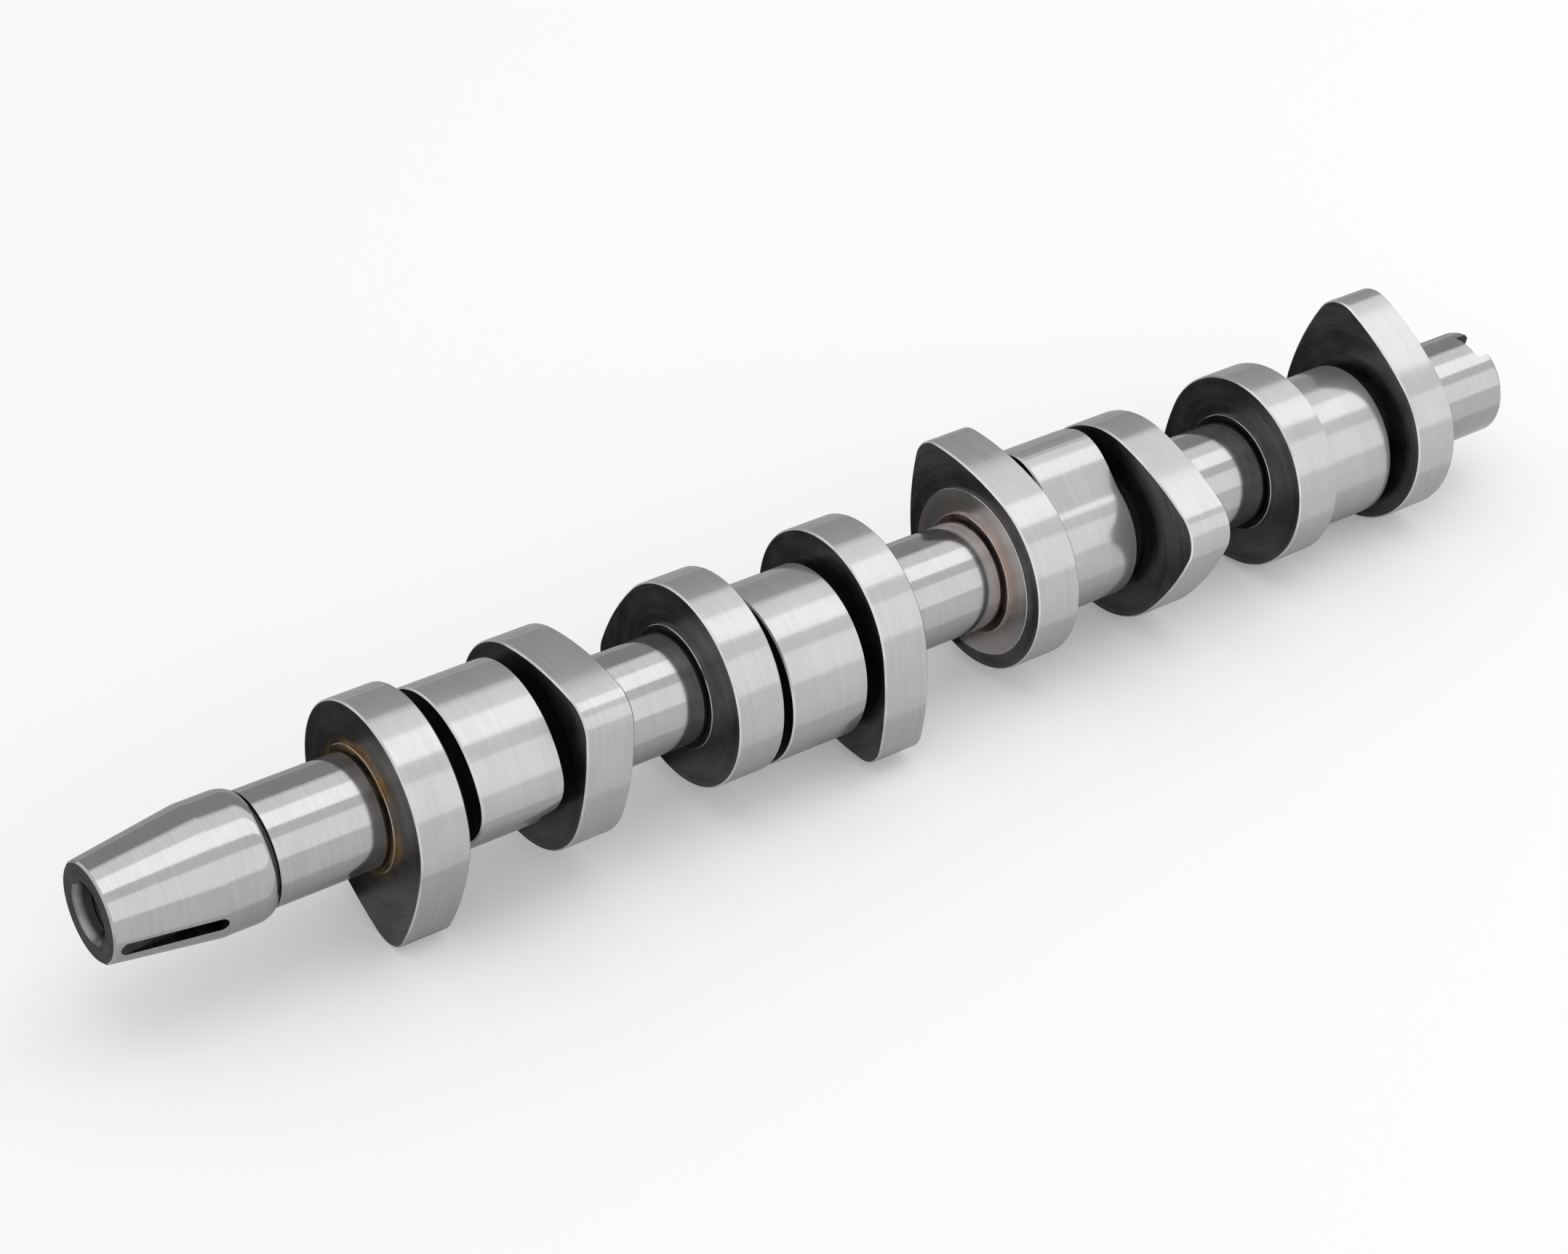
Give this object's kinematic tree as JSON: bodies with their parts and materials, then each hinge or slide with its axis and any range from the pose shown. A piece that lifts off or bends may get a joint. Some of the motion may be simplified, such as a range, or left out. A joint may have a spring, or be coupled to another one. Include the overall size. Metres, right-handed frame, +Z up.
{
  "type": "camshaft",
  "caption": "Bare engine camshaft: tapered keyed nose, seal collar, ground journals, pointed valve lobes with a wider rounded injector lobe between each pair, and a cross slot in the tail.",
  "frame": {"origin": "on the floor under the middle of the shaft, as it lies at rest on three lobes", "axes": "+X along the shaft from the nose to the tail, +Z up; the shaft's own axis dips 1.34 degrees towards the tail"},
  "size_m": [0.425, 0.0672, 0.0601],
  "materials": {
    "camshaft": "ground bright on journals and lobes, dull dark grey on the lobe sides"
  },
  "bodies": {
    "root": {"camshaft": "camshaft"}
  },
  "joints": []
}
